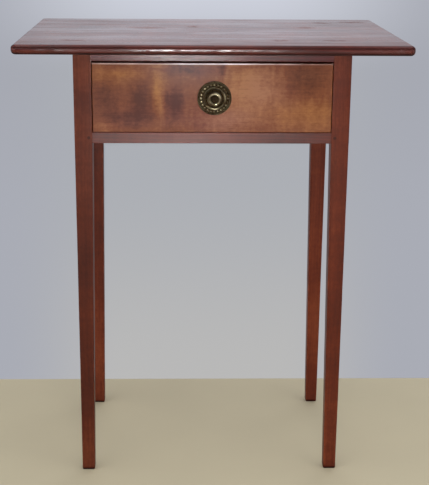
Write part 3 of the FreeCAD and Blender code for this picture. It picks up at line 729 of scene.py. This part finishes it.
def sheet(name, low, high):
    """One flat rectangle, level or upright, between its lowest and its highest corner."""
    (left, front, bottom), (right, back, top) = low, high
    corners = ((left, front, bottom), (right, front, bottom), (right, back, top), (left, back, top))
    mesh = bpy.data.meshes.new(name)
    mesh.from_pydata(corners, [], [(0, 1, 2, 3)])
    return linked(name, mesh)


def soft_room(context):
    """Even pale room light, of the backdrop's colour, so that every side has the same plain surroundings."""
    world = bpy.data.worlds.new("soft_room")
    world.use_nodes = True
    background = world.node_tree.nodes["Background"]
    background.inputs["Color"].default_value = linear(context.scene.stand_colours.wall)
    context.scene.world = world


def soft_light(name, place, target, width, height, power, mirrored=True, spread=180):
    """A soft rectangular lamp that points at a target, with or without a mirror image in glossy surfaces."""
    lamp = bpy.data.lights.new(name, "AREA")
    lamp.shape = "RECTANGLE"
    lamp.size = width
    lamp.size_y = height
    lamp.energy = power
    lamp.spread = math.radians(spread)
    made = linked(name, lamp)
    made.visible_glossy = mirrored
    made.location = place
    made.rotation_euler = (Vector(target) - Vector(place)).to_track_quat("-Z", "Y").to_euler()


def photo_camera(context):
    """Camera at the photograph's place, with its turn, tilt, lean, focal length in pixels and centre."""
    wide, high = 429, 485
    focal, sensor = 1180.2, 36
    centre_x, centre_y = 206.9, 255.6
    place = (-0.05554, -1.94823, 0.90468)
    turn, tilt, lean = -0.02714, -0.28723, 0.00755
    ahead = Vector((-math.sin(turn) * math.cos(tilt), math.cos(turn) * math.cos(tilt), math.sin(tilt)))
    right = Vector((math.cos(turn), math.sin(turn), 0))
    up = right.cross(ahead)
    across = right * math.cos(lean) + up * math.sin(lean)
    upward = up * math.cos(lean) - right * math.sin(lean)
    data = bpy.data.cameras.new("photo_camera")
    data.sensor_width = sensor
    data.lens = focal * sensor / high
    data.shift_x = (wide / 2 - centre_x) / high
    data.shift_y = (centre_y - high / 2) / high
    data.clip_start = 0.05
    camera = linked("photo_camera", data)
    turned = Matrix((across, upward, -ahead)).transposed().to_4x4()
    camera.matrix_world = Matrix.Translation(place) @ turned
    context.scene.camera = camera


# Operators

class StandStep:
    """What every step of the stand shares."""

    bl_options = {"REGISTER", "UNDO"}


def cherry_tones(context):
    """The three cherry colours, dark to light."""
    colours = context.scene.stand_colours
    return colours.cherry_dark, colours.cherry_mid, colours.cherry_light


class STAND_OT_top(StandStep, bpy.types.Operator):
    """Build the worn top board"""

    bl_idname = "stand.build_top"
    bl_label = "Top"

    def execute(self, context):
        log = {"along": "x", "shift": (0.4, 0.03, 0.0), "pith": (0.08, 0.62), "clouds": 0.35, "rings": 0.30,
               "fine": 0.5, "edges": 0.6}
        tones = cherry_tones(context)
        # Each old stain: across, back, half width, half depth, and how far it has spoiled the gloss
        places = ((0.199, 0.146, 0.014, 0.012, 0.8), (0.254, 0.162, 0.022, 0.012, 0.9),
                  (0.161, 0.061, 0.018, 0.012, 0.7), (0.100, -0.143, 0.010, 0.010, 0.8),
                  (0.188, -0.139, 0.022, 0.008, 0.8), (-0.024, 0.072, 0.010, 0.014, 0.7),
                  (-0.210, -0.150, 0.020, 0.010, 0.5), (-0.105, 0.050, 0.030, 0.016, 0.4),
                  (0.0, TOP_LOW.y, 0.60, 0.075, 0.28), (-0.20, 0.12, 0.06, 0.05, 0.2))
        stains = [((x, y, TOP_HIGH.z), (wide, deep, 0.3), amount) for x, y, wide, deep, amount in places]
        # The face is paler and bluer than the wood: partly its own tone, partly a painted reflection
        worn_and_sheen_face = cherry("cherry_top", tones=shaded(tones, (1.32, 1.40, 1.50)), streaks=0.65,
                             stains=stains, dull=(0.13, 0.30), shine=0.50, coat=0.34, planing=0.06, **log)
        # Painted shade lies dark along the lower part of the edge and a painted dark reflection along its
        # upper part, and the edge is duller towards its ends
        painted_shade_lines = [level_patch(TOP_LOW.z, 0.0034, 4.0, reach=9.0),
               level_patch(TOP_HIGH.z - 0.0038, 0.0017, 1.8, reach=9.0)]
        dulled = [((0.165, TOP_LOW.y, TOP_LOW.z), (0.100, 0.05, 0.3), 0.75),
                  ((-0.180, TOP_LOW.y, TOP_LOW.z), (0.070, 0.05, 0.3), 0.40)]
        worn_edge = cherry("cherry_top_edge", tones=shaded(tones, (0.92, 0.66, 0.70)), stains=dulled,
                           lines=painted_shade_lines, dull=(0.12, 0.34), shine=0.48, coat=0.0, **log)
        board = skin("top_board", *top_rings(context.scene.stand_sizes))
        place_piece(board, "stand", "table_top", worn_and_sheen_face)
        board.data.materials.append(worn_edge)
        mark_edge(board)
        return {"FINISHED"}


class STAND_OT_legs(StandStep, bpy.types.Operator):
    """Build the four tapered legs"""

    bl_idname = "stand.build_legs"
    bl_label = "Legs"

    def execute(self, context):
        # Each leg: its side, its end, how light its own wood is, and the places along it that are paler or
        # darker, each as its height, its half length and the amount
        # The paler place high on the left front leg is a painted sheen
        legs = ((-1, -1, 0.90, ((0.63, 0.06, 0.14), (0.43, 0.20, -0.16), (0.20, 0.12, -0.06),
                                (0.02, 0.08, 0.26))),
                (1, -1, 1.02, ((0.50, 0.10, 0.10), (0.25, 0.10, -0.05))),
                (-1, 1, 1.06, ((0.45, 0.15, -0.15), (0.10, 0.12, 0.08))),
                (1, 1, 1.08, ((0.45, 0.15, -0.13), (0.10, 0.12, 0.10))))
        # Each leg is darker along the foot
        darkening = [level_patch(0, 0.0042, 4.0, reach=9.0)]
        for number, (side, end, paleness, places) in enumerate(legs):
            node = ("left" if side < 0 else "right") + ("_front_leg" if end < 0 else "_back_leg")
            rings, worn = leg_rings(context.scene.stand_sizes, side, end)
            tones = shaded(cherry_tones(context), paleness)
            patches = [level_patch(*spot) for spot in places]
            finish = cherry("cherry_" + node, "z", (0.7 * number, 0.21 * number, 0.13 * number), tones,
                            pith=(0.3 - 0.1 * number, 0.25), rings=0.06, mottle=0.5, patches=patches,
                            lines=darkening, edges=0.55)
            leg = skin(node.replace("leg", "tapered_leg"), rings, worn)
            place_piece(leg, "stand", node, finish)
        return {"FINISHED"}


class STAND_OT_aprons(StandStep, bpy.types.Operator):
    """Finish the aprons, the drawer rails and the pegs"""

    bl_idname = "stand.finish_aprons"
    bl_label = "Aprons, rails and pegs"

    def execute(self, context):
        tones = cherry_tones(context)
        dark, mid, _ = tones
        dress(cherry("cherry_left_apron", "y", (1.3, 0.4, 0.0), tones, pith=(0.3, 0.62)), "left_apron")
        dress(cherry("cherry_right_apron", "y", (2.1, 0.0, 0.02), tones, pith=(0.1, 0.66)), "right_apron")
        dress(cherry("cherry_back_apron", "x", (3.4, 0.0, 0.05), tones, pith=(0.05, 0.68)), "back_apron")
        # Both drawer rails are darker towards the right, a painted shade where the lamp's sheen falls off
        darker = [((0.16, 0, 0), (0.09, 5, 5), -0.3)]
        # Their tones are paler and more mauve than the wood, partly a painted sheen
        upper, lower = shaded(tones, (1.12, 0.92, 1.5)), shaded(tones, (1.06, 1.08, 1.40))
        dress(cherry("cherry_upper_rail", "x", (4.2, 0.1, 0.3), upper, patches=darker, dull=(0.22, 0.34),
                     shine=0.22, coat=0.03), "upper_drawer_rail")
        dress(cherry("cherry_lower_rail", "x", (5.1, 0.31, 0.1), lower, patches=darker, dull=(0.26, 0.38),
                     shine=0.34, coat=0.06), "lower_drawer_rail")
        peg_tones = (shaded(dark, 0.6), dark, mid)
        dress(cherry("peg_end", "y", (6.0, 0.0, 0.0), peg_tones), "front_rail_pegs", "back_apron_pegs")
        dress(cherry("peg_end_side", "x", (6.5, 0.0, 0.0), peg_tones), "side_apron_pegs")
        return {"FINISHED"}


class STAND_OT_drawer_front(StandStep, bpy.types.Operator):
    """Finish the drawer front with its cloudy figure"""

    bl_idname = "stand.finish_drawer_front"
    bl_label = "Drawer front"

    def execute(self, context):
        colours = context.scene.stand_colours
        # Each cloudy place: across, up, half width, half height, and how much paler or darker it is
        clouds = ((-0.110, 0.622, 0.020, 0.028, -0.48), (-0.058, 0.617, 0.014, 0.026, -0.46),
                  (-0.083, 0.634, 0.009, 0.050, 0.32), (-0.043, 0.667, 0.036, 0.010, -0.36),
                  (-0.122, 0.592, 0.036, 0.016, -0.34), (0.060, 0.648, 0.044, 0.034, 0.46),
                  (0.145, 0.655, 0.030, 0.026, -0.30), (0.155, 0.602, 0.042, 0.030, 0.12),
                  (0.070, 0.606, 0.055, 0.034, 0.30), (0.012, 0.668, 0.006, 0.014, -0.34),
                  (-0.165, 0.622, 0.024, 0.036, -0.26), (-0.145, 0.660, 0.050, 0.016, 0.24),
                  (-0.170, 0.580, 0.030, 0.010, 0.18), (0.000, 0.589, 0.032, 0.018, 0.18))
        # Each place of another hue, in the same way: more golden, or less than nothing for more mauve
        # The mauve places across the middle are partly a painted sheen
        glows = ((0.155, 0.602, 0.055, 0.034, 0.36), (-0.155, 0.656, 0.055, 0.020, 0.45),
                 (-0.083, 0.634, 0.012, 0.050, 0.40), (0.040, 0.655, 0.026, 0.030, 0.12),
                 (0.145, 0.655, 0.040, 0.026, 0.36), (-0.030, 0.668, 0.055, 0.014, -0.45),
                 (0.005, 0.590, 0.065, 0.022, -0.60), (-0.060, 0.613, 0.022, 0.030, -0.40),
                 (-0.125, 0.590, 0.055, 0.022, -0.25), (0.075, 0.635, 0.050, 0.035, -0.35))
        patches, hues = ([((x, FACE_Y, z), (wide, 0.3, high), amount) for x, z, wide, high, amount in places]
                         for places in (clouds, glows))
        tones = shaded((colours.front_dark, colours.front_mid, colours.front_light), 0.95)
        # The front's top arris gets a painted highlight, a pale line brightest in the middle
        dress(cherry("cherry_drawer_front", "x", (7.7, 0.05, 0.02), tones, pith=(-0.03, 0.62), clouds=0.16,
                     rings=0.05, curl=0.20, mottle=0.60, streaks=0.22, fine=0.25, patches=patches, hues=hues,
                     arris=FRONT_HIGH.z, dull=(0.40, 0.52), shine=0.14, coat=0.03), "drawer_front")
        return {"FINISHED"}


class STAND_OT_drawer_box(StandStep, bpy.types.Operator):
    """Finish the drawer's sides, back and bottom"""

    bl_idname = "stand.finish_drawer_box"
    bl_label = "Drawer box"

    def execute(self, context):
        colours = context.scene.stand_colours
        tones = (colours.inner_dark, colours.inner_light)
        dress(inner_wood("inner_left_side", "y", (0.2, 0.5, 0.1), tones), "left_drawer_side")
        dress(inner_wood("inner_right_side", "y", (1.2, 0.1, 0.2), tones), "right_drawer_side")
        dress(inner_wood("inner_back", "x", (2.2, 0.2, 0.1), tones), "drawer_back")
        dress(inner_wood("inner_bottom", "x", (3.2, 0.0, -0.5), tones, pith=(0.05, 0.16)), "drawer_bottom")
        return {"FINISHED"}


class STAND_OT_inner_frame(StandStep, bpy.types.Operator):
    """Finish the runners, guides, kickers and stops, and the iron that holds them"""

    bl_idname = "stand.finish_inner_frame"
    bl_label = "Inner frame"

    def execute(self, context):
        colours = context.scene.stand_colours
        tones = (colours.inner_dark, colours.inner_light)
        for number, kind in enumerate(("runner", "guide", "kicker")):
            for side in ("left", "right"):
                shift = (4.1 + number, 0.3 if side == "left" else 0.0, 0.2 * number)
                dress(inner_wood(f"inner_{side}_{kind}", "y", shift, tones), f"{side}_{kind}")
        dress(inner_wood("inner_stops", "x", (8.0, 0.1, 0.0), tones), "drawer_stops")
        dress(dark_iron("iron_fasteners", colours.iron), "top_screws", "runner_nails", "guide_nails",
              "kicker_nails", "drawer_bottom_nails")
        return {"FINISHED"}


class STAND_OT_pull(StandStep, bpy.types.Operator):
    """Build the stamped rosette and the turned knob, and finish the stud, washer and nut"""

    bl_idname = "stand.build_pull"
    bl_label = "Brass pull"

    def execute(self, context):
        colours = context.scene.stand_colours
        bright, dark = colours.brass_bright, colours.brass_dark
        rubbed = aged_brass("aged_brass", bright, dark, worn_share)
        dull = aged_brass("dull_brass", bright, dark, lambda tree: cells(tree, 300.0))
        rosette = skin("beaded_rosette", *rosette_rings(context.scene.stand_sizes))
        place_piece(rosette, "drawer", "pull_rosette", rubbed)
        place_piece(skin("turned_knob", *knob_rings()), "drawer", "pull_knob", rubbed)
        dress(dull, "pull_stud", "pull_washer", "pull_nut")
        return {"FINISHED"}


class STAND_OT_stage(StandStep, bpy.types.Operator):
    """Set the pale floor and backdrop, the soft lights and the camera"""

    bl_idname = "stand.set_stage"
    bl_label = "Stage"

    def execute(self, context):
        colours = context.scene.stand_colours
        reach, high, back = 4.0, 3.0, 0.245
        floor = sheet("stage_floor", (-reach, -reach, 0), (reach, reach, 0))
        floor.data.materials.append(pale_floor("pale_floor", colours.floor))
        wall = sheet("stage_backdrop", (-reach, back, 0), (reach, back, high))
        wall.data.materials.append(even_backdrop("pale_backdrop", colours.wall))
        soft_room(context)
        soft_light("key_light", (0.0, -2.1, 1.0), (0, 0, 0.45), 0.7, 0.6, 10.5, mirrored=False)
        soft_light("low_light", (-0.02, -1.95, 0.50), (0, 0, 0.6), 0.18, 0.16, 1.6, spread=70)
        soft_light("overhead", (0.1, -0.4, 2.4), (0, 0, 0.4), 2.0, 1.6, 14)
        soft_light("left_fill", (-2.0, -1.2, 1.5), (0, 0, 0.4), 3.6, 2.7, 20)
        soft_light("right_fill", (2.0, -1.0, 1.5), (0, 0, 0.4), 3.4, 2.7, 14)
        soft_light("back_fill", (0.5, 2.2, 1.6), (0, 0, 0.4), 3.0, 2.2, 27)
        photo_camera(context)
        context.scene.view_settings.view_transform = "Standard"
        return {"FINISHED"}


STEPS = (STAND_OT_top, STAND_OT_legs, STAND_OT_aprons, STAND_OT_drawer_front, STAND_OT_drawer_box,
         STAND_OT_inner_frame, STAND_OT_pull, STAND_OT_stage)


class STAND_PT_panel(bpy.types.Panel):
    """Steps, sizes and colours of the stand."""

    bl_label = "One-drawer stand"
    bl_idname = "STAND_PT_panel"
    bl_space_type = "VIEW_3D"
    bl_region_type = "UI"
    bl_category = "Stand"

    def draw(self, context):
        for step in STEPS:
            self.layout.operator(step.bl_idname)
        for group in (context.scene.stand_sizes, context.scene.stand_colours):
            for name in group.__annotations__:
                self.layout.prop(group, name)


CLASSES = (StandSizes, StandColours) + STEPS + (STAND_PT_panel,)


def register():
    for item in CLASSES:
        bpy.utils.register_class(item)
    bpy.types.Scene.stand_sizes = PointerProperty(type=StandSizes)
    bpy.types.Scene.stand_colours = PointerProperty(type=StandColours)


def unregister():
    del bpy.types.Scene.stand_colours
    del bpy.types.Scene.stand_sizes
    for item in reversed(CLASSES):
        bpy.utils.unregister_class(item)


def main():
    register()
    bpy.ops.stand.build_top()
    bpy.ops.stand.build_legs()
    bpy.ops.stand.finish_aprons()
    bpy.ops.stand.finish_drawer_front()
    bpy.ops.stand.finish_drawer_box()
    bpy.ops.stand.finish_inner_frame()
    bpy.ops.stand.build_pull()
    bpy.ops.stand.set_stage()


if __name__ == "__main__":
    main()
